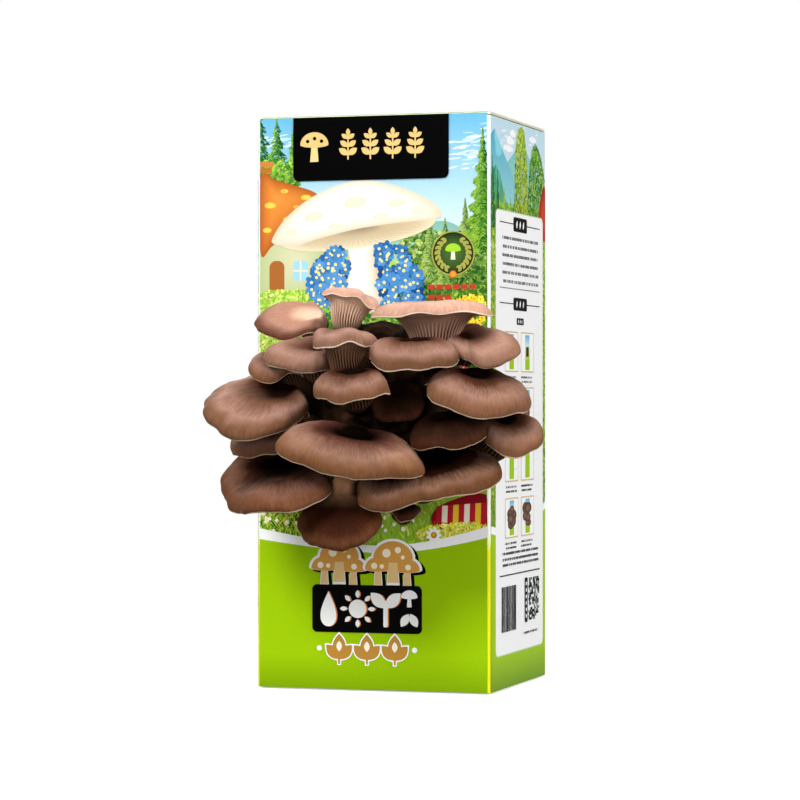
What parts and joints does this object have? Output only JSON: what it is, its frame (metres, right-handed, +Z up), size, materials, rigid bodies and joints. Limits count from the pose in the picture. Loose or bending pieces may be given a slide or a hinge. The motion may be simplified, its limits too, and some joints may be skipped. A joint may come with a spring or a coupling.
{
  "type": "oyster mushroom grow kit",
  "caption": "Upright printed carton holding a bagged sawdust log, with a clump of brown oyster mushrooms growing out through its front wall; the top lid is hinged.",
  "frame": {"origin": "middle of the carton's footprint on the table, on the underside of its floor", "axes": "+Z up along the carton's height, -Y out of the front wall that the clump grows from, +X to the right as seen from the front"},
  "size_m": [0.1439, 0.1733, 0.25],
  "materials": {
    "carton_card": "printed, satin",
    "lid_card": "printed, satin",
    "colonised_sawdust": "crumbly, matt",
    "bag_film": "clear film",
    "collar_plastic": "moulded, satin",
    "plug_plastic": "moulded, satin",
    "young_tissue": "matt",
    "pale_cap": "satin",
    "tan_cap": "satin",
    "brown_cap": "satin",
    "dark_cap": "satin"
  },
  "bodies": {
    "carton": {"carton_body": "carton_card", "substrate_block": "colonised_sawdust", "grow_bag": "bag_film", "bag_collar": "collar_plastic", "bag_plug": "plug_plastic", "cluster_base": "young_tissue", "mushroom_01": "pale_cap", "mushroom_02": "pale_cap", "mushroom_03": "pale_cap", "mushroom_04": "tan_cap", "mushroom_05": "tan_cap", "mushroom_06": "tan_cap", "mushroom_07": "tan_cap", "mushroom_08": "brown_cap", "mushroom_09": "brown_cap", "mushroom_10": "brown_cap", "mushroom_11": "dark_cap", "mushroom_12": "brown_cap", "mushroom_13": "brown_cap", "mushroom_14": "brown_cap", "mushroom_15": "brown_cap", "mushroom_16": "brown_cap", "mushroom_17": "brown_cap", "mushroom_18": "brown_cap", "mushroom_19": "brown_cap", "mushroom_20": "dark_cap", "mushroom_21": "dark_cap"},
    "lid": {"carton_lid": "lid_card"}
  },
  "joints": [
    {"name": "lid_hinge", "type": "hinge", "parent": "carton", "child": "lid", "pos_m": [0, 0.047, 0.249], "axis": [-1, 0, 0], "range_deg": [0, 180]}
  ]
}
